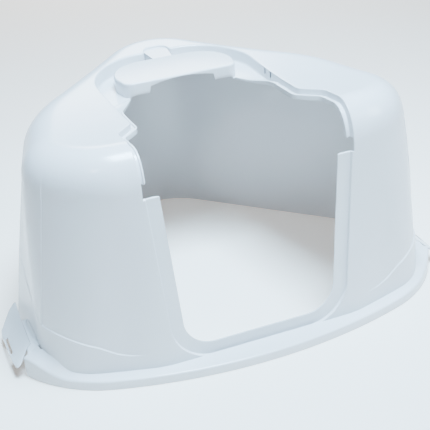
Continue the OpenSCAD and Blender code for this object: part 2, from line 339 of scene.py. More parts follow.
# places on the recess's outer line and the places on its inner line that they run to
RUNS_TO = [((112, -28), (98, -22)), ((112, -12), (88, -2)), ((112, 6), (76, 24)), ((113, 28), (88, 36)),
           ((112, 62), (94, 66)), ((97, 104), (82, 96)), ((60, 130), (55, 108)), ((25, 134), (21, 110)),
           ((17.5, 140), (14, 110))]


def travelled(p):
    return np.r_[0, np.cumsum(np.linalg.norm(np.diff(p, axis=0), axis=1))]


def nearest(line, place):
    """Number of the point of line that is nearest to place."""
    return int(np.argmin(np.linalg.norm(line - place, axis=1)))


def recess_columns(q, e):
    """Columns along the recess's outer line q, which starts where the seat ends with direction e."""
    g = recess_inner(q[0] + e * LEDGE_W)
    qd, gd = travelled(q), travelled(g)
    leave = [0.0] + [qd[nearest(q, outer)] for outer, _ in RUNS_TO] + [qd[-1]]
    reach = [0.0] + [gd[nearest(g, inner)] for _, inner in RUNS_TO] + [gd[-1]]
    at = np.interp(qd, leave, reach)
    inner = np.stack([np.interp(at, gd, g[:, i]) for i in (0, 1)], 1)
    bump = ramp(-np.abs(inner[:, 0]), -BUMP_HALF, 1.6 - BUMP_HALF) * (q[:, 1] > 120)
    inner[:, 1] = inner[:, 1] * (1 - bump) + BUMP_Y * bump
    run = qd / qd[int(np.argmax(q[:, 1] > 5))]       # 0 at the seat's end, 1 beside the handle's front
    into = ramp(run, 0.0, 0.85)                      # from the seat's ledge down to the pan
    free = 1 - ramp(inner[:, 1], 21, 25) * (run > 0.3)
    level = ramp(run, 0, 0.12)
    top = roof_z(q[:, 1])
    foot = (top - LEDGE_D) * (1 - into) + PAN_Z * into
    tip = foot + 1.0 * into * free
    foot = foot * (1 - bump) + BUMP_Z * bump
    tip = tip * (1 - bump) + (GRIP_Z - 0.15) * bump
    depth = level * (top - foot) + (1 - level) * LEDGE_D
    tip_depth = level * (top - tip) + (1 - level) * LEDGE_D
    soft = ramp(run, 0.75, 1.6) * (1 - bump)
    return columns(q, unit(inner - q), width=np.linalg.norm(inner - q, axis=1), edge_r=1.3 + 1.3 * soft,
                   draft=0.3 + 1.3 * soft, foot_r=0.9 + 3.1 * soft, depth=depth, tip=tip_depth,
                   rib=RIB_H * free * (1 - 0.35 * into), rib_w=RIB_W, level=level,
                   lip=tip_depth + WALL_T + 2.5 * (1 - into) * free, under=depth + WALL_T)


def end_of(col, ahead, corner=0.9):
    """Columns that round off a strip's end and close it; ahead is the direction of travel."""
    drop = 0.6
    out = []
    for shift, shrink in ((0.0, 0.0), (0.5, 0.15), (0.85, 0.5), (1.0, 1.0)):
        c = col.copy()
        c[:2] += ahead * corner * (shift - 1)
        c[F["width"]] -= corner * shrink
        c[F["depth"]] += drop * shrink
        c[F["tip"]] += drop * shrink
        c[F["lip"]] -= drop * shrink
        c[F["rib"]] *= 1 - 0.3 * shrink
        out.append(c)
    shut = out[-1].copy()
    for name in ("width", "draft", "rib", "rib_w"):
        shut[F[name]] = 0.0
    no_rib = out[-1].copy()
    no_rib[F["rib"]] = 0.0
    closing = [shut] if col[F["rib"]] == 0 else [no_rib, shut]
    for i, c in enumerate(closing):
        c[:2] += ahead * 0.05 * (i + 1)
    return out + closing


def half_loop():
    """Every column round the right half: band, bare edge, hatch seat, then the recess to the rear middle."""
    band = band_columns()
    p = seat_line()
    e = inward(p)
    z = surface(p)[:, 2]
    foot = int(np.argmax(z > SEAT_Z))
    turn = int(np.argmax((p[:, 1] > SEAT_END) & (p[:, 0] > 100)))
    bare = columns(p[:foot], e[:foot], edge_r=0.9, depth=WALL_T / 2, tip=WALL_T / 2, lip=WALL_T, under=WALL_T)
    seat = columns(p[foot:turn], e[foot:turn], width=LEDGE_W, edge_r=1.3, draft=0.3, foot_r=0.9,
                   depth=LEDGE_D, tip=LEDGE_D, rib=RIB_H, rib_w=RIB_W, lip=LIP_D, under=LEDGE_D + WALL_T)
    recess = recess_columns(p[turn:], e[turn])
    band_end = end_of(band[-1], unit(band[-1, :2] - band[-4, :2]))
    seat_end = end_of(seat[0], unit(seat[0, :2] - seat[3, :2]))[::-1]
    step = bare[0].copy()
    step[:2] = band[-1, :2] + (0, 0.15)
    last = bare[-1].copy()
    last[:2] = seat_end[0][:2] + unit(bare[-2, :2] - last[:2]) * 0.08
    return np.vstack([band[:-2], band_end, step[None], bare[:-2], last[None], seat_end, seat[2:], recess])


# ---------------------------------------------------------------- the wall's shallow front panel
EDGE_U = 10.905                                  # the rim place under the panel's side edge
EDGE_FOOT = np.array([112.0, -48.0])             # where that column meets the opening
EDGE_BOW = np.array([20.0, -236.0])              # how far the column bows in the map
PANEL_DEEP, SIDE_DEEP, STEP_W = 1.5, 0.5, 1.6    # depth of the front and side panels, width of their step
RIM_S = EDGE_ARC + WALL_TOP - FOOT_R             # distance s of the lowest row of the skin
# the panels fade out toward the middle of the front (by x), the rear (by rim place) and the roof (by height)
FADE_X, FADE_U, FADE_Z = (150, 185), (11.7, 12.6), (238, 284)
# rows between the rim, the crease's two sides, the wall's top, the flat roof and the opening
SKIN_ROWS, INNER_ROWS = (9, 10, 20, 14, 16), (14, 12, 10)


def crease_height(u):
    """Height of the panel's lower crease: up round the front corner, a step at the side edge, then on."""
    front = 35 * ramp(u, 9.2, 10.7) ** 1.15
    step = 13 * ramp(u, 10.80, 10.93)
    side = 35 * (1 - (1 - np.clip((u - 10.93) / 1.67, 0, 1)) ** 1.5)
    return 36 + front + step + side


# map points on the opening's edge and the rim places that their columns run to
KEYS = [((0, -478), FRONT_MID), ((79, -478), 7.84), ((131, -409), 9.15), ((135.6, -241.8), 10.0),
        ((137.7, -228.4), 10.08), ((137, -150), 10.5), ((132, -119), 10.68), ((112.5, -100), 10.84),
        (tuple(EDGE_FOOT), EDGE_U), ((112, -20), 11.25), ((113, 50), 12.5), ((103, 94), 13.1),
        ((60, 131), 13.7), ((25, 134), 14.1), ((0, 151), 14.5)]


def rim_places(b):
    """The rim place that the column from each point of b runs to."""
    d = travelled(b)
    return np.interp(d, [d[nearest(b, place)] for place, _ in KEYS], [u for _, u in KEYS])


def bows(b, u):
    """How much each column bows: fully at the panel's side edge, not at all away from it."""
    w = np.where(u < EDGE_U, ramp(u, 10.0, EDGE_U), 1 - ramp(u, EDGE_U, 12.3))
    return w[:, None] * EDGE_BOW


def bezier(a, c, b, t):
    """Points (n, m, 2) at t (n, m) on the curves from a by c to b, each (n, 2)."""
    t = t[..., None]
    return (1 - t) ** 2 * a[:, None] + 2 * t * (1 - t) * c[:, None] + t ** 2 * b[:, None]


NEVER = 9.0                                      # stands for a crossing that a column does not have


def crossings(a, c, b, n=240):
    """For each column, t where it meets the crease, the wall's top and the flat roof."""
    t = np.linspace(0, 1, n)[None].repeat(len(a), 0)
    q = bezier(a, c, b, t).reshape(-1, 2)
    u, s = (v.reshape(t.shape) for v in from_map(q))
    over_crease = EDGE_ARC + WALL_TOP - s - crease_height(u)

    def first(value, mask):
        i = np.maximum(mask.argmax(1), 1)
        r = np.arange(len(value))
        v0, v1 = value[r, i - 1], value[r, i]
        f = np.clip(-v0 / np.where(abs(v1 - v0) < 1e-9, 1, v1 - v0), 0, 1)
        return np.where(mask.any(1), (i - 1 + f) / (n - 1.0), NEVER)

    return first(over_crease, over_crease > 0), first(EDGE_ARC - s, s < EDGE_ARC), first(-s, s < 0)


def rows_between(stops, counts):
    """t for every row: counts[i] rows from stops[i] to stops[i + 1], then the last stop's own row."""
    parts = []
    for i, n in enumerate(counts):
        f = np.arange(n) / n
        parts.append(stops[i][:, None] * (1 - f) + stops[i + 1][:, None] * f)
    return np.hstack(parts + [stops[-1][:, None]])


def placed(stops):
    """Stops pushed back below 1 where they fall past the column's end, in order and never together."""
    stops = np.stack(stops, 1)
    n = stops.shape[1]
    for i in range(n):
        left = 1 - 0.02 * (n - i)
        even = (i + 1) / (n + 1)
        back = min(even, left) if i < 2 else left
        stops[:, i] = np.where(stops[:, i] > left, back, stops[:, i])
    for i in range(1, n):
        stops[:, i] = np.maximum(stops[:, i], stops[:, i - 1] + 0.01)
    return list(stops.T)


def beyond_side_edge(q, u):
    """Distance in the map from points q, at rim places u, to the panel's side edge; above 0 on the side."""
    start = to_map(np.array([EDGE_U]), np.array([RIM_S]))
    middle = (start + EDGE_FOOT) / 2 + EDGE_BOW
    curve = bezier(start, middle, EDGE_FOOT[None], np.linspace(0, 1, 400)[None])[0]
    out = np.where(u < 10.6, -99.0, 99.0)
    close = (u > 9.8) & (u < 12.2)
    d = q[close][:, None] - curve[None]
    dist = np.linalg.norm(d, axis=2)
    k = dist.argmin(1)
    tangent = np.gradient(curve, axis=0)[k]
    v = d[np.arange(len(k)), k]
    out[close] = dist.min(1) * np.sign(tangent[:, 1] * v[:, 0] - tangent[:, 0] * v[:, 1])
    return out


def skin_rows(cols, u):
    """Rows of the outer skin from the rim up to the opening, sunk where the shallow panels are."""
    b = cols[:, :2] - cols[:, 2:4] * cols[:, F["edge_r"]][:, None]
    a = to_map(u, np.full(len(u), RIM_S))
    c = (a + b) / 2 + bows(b, u)
    crease, wall_top, roof = crossings(a, c, b)
    half = np.minimum(STEP_W * 1.1 / np.linalg.norm(b - a, axis=1), 0.04)
    low, high, wall_top, roof = placed([crease - half, crease + half, wall_top, roof])
    low = np.clip(low, 0.01, 1)
    zero, one = np.zeros(len(u)), np.ones(len(u))
    t = rows_between([zero, low, high, wall_top, roof, one], SKIN_ROWS)
    q = bezier(a, c, b, t)
    flat = q.reshape(-1, 2)
    at, _ = from_map(flat)
    p = surface(flat)
    above = smooth((p[:, 2] - crease_height(at)) / STEP_W + 0.5)
    to_side = smooth(beyond_side_edge(flat, at) / STEP_W + 0.5)
    front = PANEL_DEEP * ramp(p[:, 0], *FADE_X)
    side = SIDE_DEEP * (1 - ramp(at, *FADE_U))
    deep = above * (front * (1 - to_side) + side * to_side) * (1 - ramp(p[:, 2], *FADE_Z))
    return (p - surface_normal(flat) * deep[:, None]).reshape(q.shape[0], q.shape[1], 3)


def inner_rows(cols, u):
    """Rows of the inner skin from the opening back down to the rim."""
    b = cols[:, :2] - cols[:, 2:4] * WALL_T
    a = to_map(u, np.full(len(u), RIM_S))
    c = (a + b) / 2 + bows(b, u)
    wall_top, roof = placed(list(crossings(a, c, b)[1:]))
    zero, one = np.zeros(len(u)), np.ones(len(u))
    t = rows_between([zero, wall_top, roof, one], INNER_ROWS)[:, ::-1]
    q = bezier(a, c, b, t)
    flat = q.reshape(-1, 2)
    p = surface(flat) - surface_normal(flat) * WALL_T
    p = p.reshape(q.shape[0], q.shape[1], 3)
    p[:, -1, 2] = FOOT_R
    return p


def rim_rows(u):
    """Rows across the lower edge, which stands on the floor."""
    rows = []
    for inset in (WALL_T - FOOT_R, WALL_T / 2, FOOT_R):
        rows.append(np.c_[plan_point(u, np.zeros(len(u)), np.full(len(u), inset)), np.zeros(len(u))])
    return np.stack(rows, 1)


LIP_T = 2.3
# radius of the corners from the rib's foot to the underside, and plain rows added after some corners
RIB_RADII = (0.5, 0.7, 0.8, 0.8, 0.6, 0.5, 0.8)
PLAIN_ROWS = {1: 7, 4: 2, 7: 4, 8: 2}


def profile_rows(cols):
    """Rows across the opening's edge: rounding, wall, pan or ledge, rib and lip, then back under them."""
    g = {name: cols[:, i] for name, i in F.items()}
    zero = np.zeros(len(cols))
    width, tip, lip, draft = g["width"], g["tip"], g["lip"], g["draft"]
    rib = np.minimum(g["rib_w"], width)
    rib_foot = width - rib - 0.3 * (g["rib"] > 0.01)
    back = width - LIP_T
    keys = [(zero, zero), (draft, g["depth"]), (rib_foot, tip), (width - rib, tip - g["rib"]),
            (width, tip - g["rib"]), (width, lip), (back, lip), (back, tip + WALL_T),
            (draft - WALL_T, g["under"]), (zero - WALL_T, zero + WALL_T)]
    keys = np.stack([np.stack(k, 1) for k in keys], 1)
    # a bare edge has no pan: its keys fall together on the edge
    bare = (width < 1e-6) & (lip < 3)
    keys[bare, 7, 1] = keys[bare, 6, 1]
    radius = [g["edge_r"], g["foot_r"]] + [zero + r for r in RIB_RADII]
    before = keys[:, 0] - np.stack([g["edge_r"], zero], 1)
    rows = []
    for k in range(9):
        prev = before if k == 0 else keys[:, k - 1]
        here, after = keys[:, k], keys[:, k + 1]
        l0, l1 = np.linalg.norm(here - prev, axis=1), np.linalg.norm(after - here, axis=1)
        cut_back = np.minimum(radius[k], np.minimum(l0 if k == 0 else l0 * 0.48, l1 * 0.48))
        d0 = (prev - here) / np.maximum(l0, 1e-9)[:, None]
        d1 = (after - here) / np.maximum(l1, 1e-9)[:, None]
        first = here + d0 * cut_back[:, None]
        last = here + d1 * cut_back[:, None]
        for t in np.linspace(0, 1, 7 if k == 1 else 5)[1 if k == 0 else 0:]:
            rows.append((1 - t) ** 2 * first + 2 * t * (1 - t) * here + t * t * last)
        if k in PLAIN_ROWS:
            next_cut = np.minimum(radius[min(k + 1, 8)], l1 * 0.48)
            goal = after - d1 * next_cut[:, None]
            for f in np.arange(1, PLAIN_ROWS[k] + 1) / (PLAIN_ROWS[k] + 1):
                rows.append(last * (1 - f) + goal * f)
    section = np.stack(rows, 1)                      # how far in and how far down each row lies
    m = section.shape[1]
    b, e = cols[:, None, :2].repeat(m, 1), cols[:, None, 2:4].repeat(m, 1)
    q = (b + e * section[..., :1]).reshape(-1, 2)
    depth = section[..., 1].reshape(-1)
    on_face = surface(q) - surface_normal(q) * depth[:, None]
    flat = np.c_[q, roof_z(b[..., 1].reshape(-1)) - depth]
    level = g["level"][:, None].repeat(m, 1).reshape(-1, 1)
    return (on_face * (1 - level) + flat * level).reshape(len(cols), m, 3)


def denser(cols, u):
    """More columns where the panel's side edge runs down, so that its step is sharp."""
    i = nearest(cols[:, :2], EDGE_FOOT)
    n = np.arange(len(cols))
    at = np.union1d(n, np.round(np.linspace(i - 3, i + 3, 31), 3))
    more = np.stack([np.interp(at, n, cols[:, j]) for j in range(cols.shape[1])], 1)
    return more, np.interp(at, n, u)


def moulding():
    """Vertices (columns, rows, 3) of the right half, all round the section and from the front to the rear."""
    cols = half_loop()
    u = rim_places(cols[:, :2])
    cols, u = denser(cols, u)
    return np.hstack([skin_rows(cols, u), profile_rows(cols), inner_rows(cols, u), rim_rows(u)])


# ---------------------------------------------------------------- grids of points made into meshes
LOW_BY = 0.9995                                  # keeps the roof's highest points inside the CAD's box
SHARP, SHARP_PIECE = 32.0, 40.0                  # edges over this many degrees are drawn sharp


def grid_faces(rows, cols, wrap_rows=False, wrap_cols=False):
    """Quads (n, 4) of a grid whose point (i, j) has the number i * cols + j."""
    i = np.arange(rows if wrap_rows else rows - 1)
    j = np.arange(cols if wrap_cols else cols - 1)
    i, j = [x.ravel() for x in np.meshgrid(i, j, indexing="ij")]
    i1, j1 = (i + 1) % rows, (j + 1) % cols
    return np.stack([i * cols + j, i1 * cols + j, i1 * cols + j1, i * cols + j1], 1)


def side_name(side, piece):
    return ("left_" if side < 0 else "right_") + piece


def mesh_object(name, points, faces, sharp=SHARP):
    """A mesh object from points in millimetres and lists of their numbers, joined up and turned outward."""
    mesh = bpy.data.meshes.new(name)
    mesh.from_pydata((points * MM).tolist(), [], [list(map(int, f)) for f in faces])
    bm = bmesh.new()
    bm.from_mesh(mesh)
    bmesh.ops.remove_doubles(bm, verts=bm.verts, dist=0.004 * MM)
    bmesh.ops.dissolve_degenerate(bm, edges=bm.edges, dist=0.001 * MM)
    bmesh.ops.recalc_face_normals(bm, faces=bm.faces)
    bm.to_mesh(mesh)
    bm.free()
    mesh.polygons.foreach_set("use_smooth", [True] * len(mesh.polygons))
    mesh.set_sharp_from_angle(angle=math.radians(sharp))
    obj = bpy.data.objects.new(name, mesh)
    bpy.context.scene.collection.objects.link(obj)
    return obj


def build_moulding():
    g = moulding()
    g[..., 2] *= LOW_BY
    g[0, :, 0] = g[-1, :, 0] = 0.0
    other = g[-2:0:-1] * (-1, 1, 1)
    full = np.concatenate([g, other])
    rows, cols = full.shape[:2]
    return mesh_object("hood_moulding", full.reshape(-1, 3), grid_faces(rows, cols, True, True))


def box_object(name, low, high):
    low, high = np.array(low, float), np.array(high, float)
    unit_cube = np.array([(x, y, z) for x in (0, 1) for y in (0, 1) for z in (0, 1)], float)
    corners = unit_cube * (high - low) + low
    quads = [(0, 1, 3, 2), (4, 6, 7, 5), (0, 4, 5, 1), (2, 3, 7, 6), (0, 2, 6, 4), (1, 5, 7, 3)]
    return mesh_object(name, corners, quads)


def cut(obj, boxes):
    """Cut boxes (low corner, high corner) in millimetres out of a closed mesh."""
    for low, high in boxes:
        tool = box_object("cutter", low, high)
        mod = obj.modifiers.new("cut", "BOOLEAN")
        mod.operation, mod.object, mod.solver = "DIFFERENCE", tool, "MANIFOLD"
        graph = bpy.context.evaluated_depsgraph_get()
        done = bpy.data.meshes.new_from_object(obj.evaluated_get(graph))
        obj.modifiers.clear()
        old, obj.data = obj.data, done
        bpy.data.objects.remove(tool)
        bpy.data.meshes.remove(old)
    obj.data.set_sharp_from_angle(angle=math.radians(SHARP))


def capped_tube(name, rings):
    """A mesh object from rings of points (n, m, 3), with a face over each end."""
    n, m = rings.shape[:2]
    faces = grid_faces(n, m, False, True).tolist() + [list(range(m)), list(range((n - 1) * m, n * m))]
    return mesh_object(name, rings.reshape(-1, 3), faces, SHARP_PIECE)


def closed_line(corners, step):
    """Evenly spaced points all the way round a rounded outline."""
    p = outline(corners, 0, step)
    return resample(np.vstack([p, p[:1]]), lambda d: step)[:-1]


def inward_all_round(line):
    return inward(np.vstack([line[-1:], line, line[:1]]))[1:-1]


# ---------------------------------------------------------------- the hatch's hinge slots
HINGE_Y, HINGE_W = (2.0, -17.0), 5.6             # the slots' depths y and their width
HINGE_LOW, HINGE_HIGH = 282.6, 291.9
RECESS_X = 112.0                                 # the recess's side wall beside the slots
THIN_X = RECESS_X + 1.4                          # where the wall's thinning from behind starts
THIN_PAST, THIN_TOP, CUT_X = 3.4, 289.9, 7.0     # its reach past the slots, its top, the cuts' depth
SOCKET_PAST, SOCKET_DEEP, SOCKET_BELOW, SOCKET_TOP = 6, 13, 4.5, 290.6


def mirrored(side, low, high):
    """A box on the right, or its mirror image on the left."""
    x = sorted((side * low[0], side * high[0]))
    return (x[0], *low[1:]), (x[1], *high[1:])


def build_hinge_slots(shell):
    """Cut both pairs of slots and thin the wall from behind, so that the slots have crisp edges."""
    for side in (-1, 1):
        boxes = [((RECESS_X - 5, y - HINGE_W / 2, HINGE_LOW), (RECESS_X + CUT_X, y + HINGE_W / 2, HINGE_HIGH))
                 for y in HINGE_Y]
        boxes.append(((THIN_X, min(HINGE_Y) - THIN_PAST, HINGE_LOW - 0.3),
                      (RECESS_X + CUT_X, max(HINGE_Y) + THIN_PAST, THIN_TOP)))
        cut(shell, [mirrored(side, *box) for box in boxes])


def build_socket(side):
    """The closed pocket behind a pair of hinge slots; the roof is its lid and the recess's wall its front."""
    low = np.array([THIN_X, min(HINGE_Y) - SOCKET_PAST, HINGE_LOW - SOCKET_BELOW])
    high = np.array([RECESS_X + SOCKET_DEEP, max(HINGE_Y) + SOCKET_PAST, SOCKET_TOP])
    socket = box_object(side_name(side, "hinge_socket"), *mirrored(side, low, high))
    wall = np.array([0, WALL_T, WALL_T])
    cut(socket, [mirrored(side, low + wall - (1, 0, 0), high - (WALL_T, WALL_T, -1))])
    return socket


# ---------------------------------------------------------------- carry handle
GAP_HALF, GAP_TOP, GAP_FALL = 46, 2.7, 6.0       # finger gap: half width, depth, fall to its ends
SKIRT_FRONT, SKIRT_FOOT = 279.6, 275.2           # the skirt's lower edge beside the gap, and everywhere else


def grip_foot(p):
    """Height of the skirt's lower edge at outline points: arched over the fingers, then down into the pan."""
    x = np.abs(p[:, 0])
    arch = GRIP_Z - GAP_TOP - GAP_FALL * (x / GAP_HALF) ** 2
    front = np.where(x < GAP_HALF + 0.2, arch, SKIRT_FRONT)
    down = ramp(x, 70, 78)
    at_front = p[:, 1] < 40
    return np.where(at_front, front * (1 - down) + SKIRT_FOOT * down, SKIRT_FOOT)


def build_grip():
    """The handle: a shallow cap with a rounded rim and a skirt, hollow underneath."""
    line = closed_line(GRIP, 1.0)
    into = inward_all_round(line)
    low = grip_foot(line)
    top = np.full(len(line), GRIP_Z)
    under = top - WALL_T
    fillet, inner_r, foot_r = 2.2, 0.8, 0.6
    rows = []

    def add(inset, z):
        rows.append(np.c_[line + into * inset, z])

    for inset, lift in ((1.9, 0.0), (1.2, -0.12), (0.7, -0.1), (0.25, 0.15), (0.0, foot_r)):
        add(inset, low + lift)
    for f in (0.3, 0.6, 1.0):
        add(0.0, np.maximum(low + foot_r, (low + foot_r) * (1 - f) + (top - fillet) * f))
    for a in np.radians(np.linspace(0, 90, 8)[1:]):
        fall = 1 - math.sin(a)
        add(fillet * (1 - math.cos(a)), np.maximum(top - fillet * fall, low + foot_r * fall))
    outside, m = len(rows), len(line)
    for inset, z in ((0, np.minimum(low + 0.5, under - 0.05)), (0, np.minimum(low + 1.0, under - 0.04)),
                     (0, under - inner_r), (inner_r * 0.3, under - inner_r * 0.3), (inner_r, under)):
        add(WALL_T + inset, z)
    faces = grid_faces(outside, m, False, True).tolist()
    faces += (grid_faces(len(rows) - outside, m, False, True) + outside * m).tolist()
    j = np.arange(m)
    k = (j + 1) % m
    faces += np.stack([j, k, outside * m + k, outside * m + j], 1).tolist()
    faces += [((outside - 1) * m + j).tolist(), ((len(rows) - 1) * m + j).tolist()]
    return mesh_object("carry_grip", np.vstack(rows), faces, SHARP_PIECE)


# ---------------------------------------------------------------- foot flange
# radius of the front's bow and of the corners; angles in degrees from the front where they meet and end
FLANGE_R, CORNER_R, FLANGE_TURN, FLANGE_END = 650.0, 170.0, 17.9, 60.7
FLANGE_Y, FLANGE_REACH = 248.75, 40.0            # how far forward it lies, and the most that it reaches in
FLANGE_EDGE_R = 2.4
SLIT_W, SLIT_A = 3.2, (55.6, 56.6)               # a short slit beside the wall, next to the latch
FLANGE_STOPS = np.linspace(-FLANGE_END, FLANGE_END, 487)
# height of the flange where it meets the wall, against the angle from the front
MEETS_A = [0, 20, 30, 38, 41.0, 44.5, 48, 54, 62]
MEETS_Z = [13.6, 14.4, 15.8, 18.0, 21.5, 29.0, 32.6, 33.6, 34.2]


def flange_edge(a, w):
    """Plan points at angles a (degrees from the front, to the right) moved in by w."""
    r = np.radians(np.abs(a))
    d = np.stack([np.sin(r), -np.cos(r)], -1)
    t = math.radians(FLANGE_TURN)
    centre = np.array([0, FLANGE_R - FLANGE_Y])
    join = centre + (FLANGE_R - CORNER_R) * np.array([math.sin(t), -math.cos(t)])
    w = np.asarray(w, float)[..., None]
    on_front = (np.abs(a) <= FLANGE_TURN)[..., None]
    p = np.where(on_front, centre + (FLANGE_R - w) * d, join + (CORNER_R - w) * d)
    return p * np.stack([np.where(a < 0, -1.0, 1.0), np.ones_like(a)], -1)


def lip_height(a):
    return 13 + 15.5 * ramp(np.abs(a), 38, 59)


def wall_radius(points, z):
    """Distance from the middle axis to the wall's outer face, in the directions of points, at heights z."""
    u = np.linspace(3.5, 11.5, 500)
    out = np.empty(len(points))
    level = np.round(z)
    for k in np.unique(level):
        ring = plan_point(u, np.full(len(u), float(k)), 0.0)
        angle = np.arctan2(ring[:, 0], -ring[:, 1])
        order = np.argsort(angle)
        here = level == k
        at = np.arctan2(points[here, 0], -points[here, 1])
        out[here] = np.interp(at, angle[order], np.linalg.norm(ring, axis=1)[order])
    return out


def to_wall(a, z):
    """How far in from the flange's edge the wall's outer face is, at angles a and heights z."""
    w = np.linspace(0, FLANGE_REACH, 401)
    aa, ww = [x.ravel() for x in np.meshgrid(a, w, indexing="ij")]
    p = flange_edge(aa, ww)
    inside = (wall_radius(p, np.repeat(z, len(w))) > np.linalg.norm(p, axis=1)).reshape(len(a), len(w))
    return np.where(inside.any(1), w[inside.argmax(1)], FLANGE_REACH)


def meeting_height(a):
    soft = [np.interp(np.abs(a) + d, MEETS_A, MEETS_Z) for d in np.linspace(-1.6, 1.6, 9)]
    return np.mean(soft, 0)


_REACH = to_wall(FLANGE_STOPS, meeting_height(FLANGE_STOPS))
_REACH = np.convolve(np.pad(_REACH, 6, mode="edge"), np.ones(13) / 13, "valid")


def plate_height(a, w):
    """Height of the flange's top, w in from its edge."""
    f = w / np.interp(a, FLANGE_STOPS, _REACH)
    return lip_height(a) + (meeting_height(a) - lip_height(a)) * (0.6 * f + 0.4 * f * f)


def build_flange():
    """The bowed flange: a lip up from the floor, a rounded edge, and a plate that climbs to the wall."""
    a = FLANGE_STOPS
    reach = _REACH + 1.2 - SLIT_W * ramp(np.abs(a), *SLIT_A)
    path = []

    def at(width, height):
        path.append(np.c_[flange_edge(a, width + 0 * a), height + 0 * a])

    at(0.5, 0)
    at(0.15, 0.15)
    at(0.0, 0.5)
    at(0.0, lip_height(a) * 0.5)
    r = FLANGE_EDGE_R
    for t in np.radians(np.linspace(0, 90, 9)):
        width = r * (1 - math.cos(t))
        at(width, plate_height(a, width) - r * (1 - math.sin(t)))
    for f in (0.15, 0.35, 0.55, 0.75, 0.9, 1.0):
        width = r + (reach - r) * f
        # a slight hollow next to the wall keeps the crease from being knife sharp
        at(width, plate_height(a, width) + 0.5 * ramp(f, 0.6, 1.0))
    for f in (1.0, 0.8, 0.55, 0.3, 0.0):
        width = WALL_T + (reach - WALL_T) * f
        at(width, plate_height(a, width) - WALL_T)
    at(WALL_T, 0.5)
    at(WALL_T - 0.15, 0.15)
    at(WALL_T - 0.5, 0)
    return capped_tube("foot_flange", np.stack(path, 1))


# ---------------------------------------------------------------- latch tongues and the land they bend from
TONGUE = [((282.6, -66), 1.5), ((281.5, -26), 30), ((280, -12), 3), ((293, -22), 8), ((310, -48), 8),
          ((311, -60), 12), ((309.5, -112), 30), ((308.5, -128), 8), ((305.5, -149), 4), ((289.5, -127), 10),
          ((282.6, -121), 3)]
SLOT_X, SLOT_LOW, SLOT_HIGH, SLOT_R = 306.5, -109.0, -71.0, 1.5
ROOT_X, ROOT_Z, TONGUE_W, TONGUE_DROP = 283, 36, 29, 21   # the tongue's root, its width and how far it falls


def tongue_z(x):
    return np.where(x < ROOT_X, ROOT_Z - (x - ROOT_X) * 0.4, ROOT_Z - TONGUE_DROP * (x - ROOT_X) / TONGUE_W)


def build_tongue(side):
    """A flexing tongue with rounded edges, open where its catch slot is."""
    line = closed_line(TONGUE[::-1], 0.8)
    into = inward_all_round(line)
    along = np.clip(line[:, 1], SLOT_LOW + SLOT_R, SLOT_HIGH - SLOT_R)
    centre = np.c_[np.full(len(line), SLOT_X), along]
    hole = centre + unit(line - centre) * SLOT_R
    out = unit(line - hole)
    r = 0.7
    near, far = hole + out * 0.5, line + into * r
    rows = []

    def add(points, lift):
        rows.append(np.c_[points, tongue_z(points[:, 0]) + lift])

    for f in (0.0, 0.35, 0.7):
        add(near * (1 - f) + far * f, 0.0)
    for inset, lift in ((r, 0.0), (r * 0.3, -r * 0.3), (0.0, -r), (0.0, -WALL_T + r),
                        (r * 0.3, -WALL_T + r * 0.3), (r, -WALL_T)):
        add(line + into * inset, lift)
    for f in (0.7, 0.35, 0.0):
        add(near * (1 - f) + far * f, -WALL_T)
    for past, lift in ((0.12, -WALL_T + 0.12), (0.0, -WALL_T + 0.5), (0.0, -0.5), (0.12, -0.12)):
        add(hole + out * past, lift)
    g = np.stack(rows, 0)
    faces = grid_faces(len(rows), len(line), True, True)
    return mesh_object(side_name(side, "tongue"), g.reshape(-1, 3) * (side, 1, 1), faces, SHARP_PIECE)


LAND_FRONT, LAND_REAR, LAND_X, LAND_Z = -121.5, -65.5, 282.3, 36.1
# plan points and heights of the facet's corners beside the land and the tongue
FACET_CORNERS = [(273.0, -121.0, 36.05), (282.0, -121.5, 36.05), (288.0, -126.2, 32.0)]


def build_land(side):
    """The short shelf between the wall and a tongue's root, curving up into the wall."""
    ring = plan_point(np.linspace(10.5, 12, 200), np.full(200, LAND_Z), 0.0)
    y = np.linspace(LAND_FRONT, LAND_REAR, 57)
    wall = np.interp(y, ring[:, 1], ring[:, 0])
    r = 1 + 5 * ramp(y, LAND_FRONT, LAND_FRONT + 14) * ramp(-y, -LAND_REAR, -LAND_REAR + 10)
    path = [(LAND_X + 0 * y, LAND_Z - WALL_T + 0 * y), (LAND_X + 0 * y, LAND_Z + 0 * y)]
    for t in np.radians(np.linspace(0, 90, 9)):
        path.append((wall + r * (1 - math.sin(t)), LAND_Z + r * (1 - math.cos(t))))
    path += [(wall - 1.2, LAND_Z + r - 0.6), (wall - 1.2, LAND_Z - WALL_T + 0 * y)]
    rings = np.stack([np.stack([x, y, z], -1) for x, z in path], 1)
    return capped_tube(side_name(side, "land"), rings * (side, 1, 1))


def build_bridge(side):
    """The facet that joins the land, and so the tongue's root, to the flange's end."""
    end = np.array([FLANGE_END - 0.5])
    corners = []
    for w in (6.0, 20.0, 30.0):
        w = np.array([w])
        corners.append((*flange_edge(end, w)[0], plate_height(end, w)[0] + 0.05))
    top = np.array(corners + FACET_CORNERS)
    middle = top.mean(0)
    rows = []
    for shrink, lift in ((0.9, -WALL_T), (0.2, -WALL_T + 0.2), (0.0, -WALL_T + 0.8), (0.0, -0.7),
                         (0.2, -0.2), (0.9, 0.0)):
        inset = unit(middle - top) * shrink
        rows.append(top + inset + (0, 0, lift) - inset * (0, 0, 1))
    g = np.stack(rows, 0)
    n = len(top)
    faces = grid_faces(len(rows), n, False, True).tolist()
    for start in (0, (len(rows) - 1) * n):
        faces += [[start, start + 1, start + 4, start + 5], [start + 1, start + 2, start + 3, start + 4]]
    return mesh_object(side_name(side, "bridge"), g.reshape(-1, 3) * (side, 1, 1), faces, SHARP_PIECE)


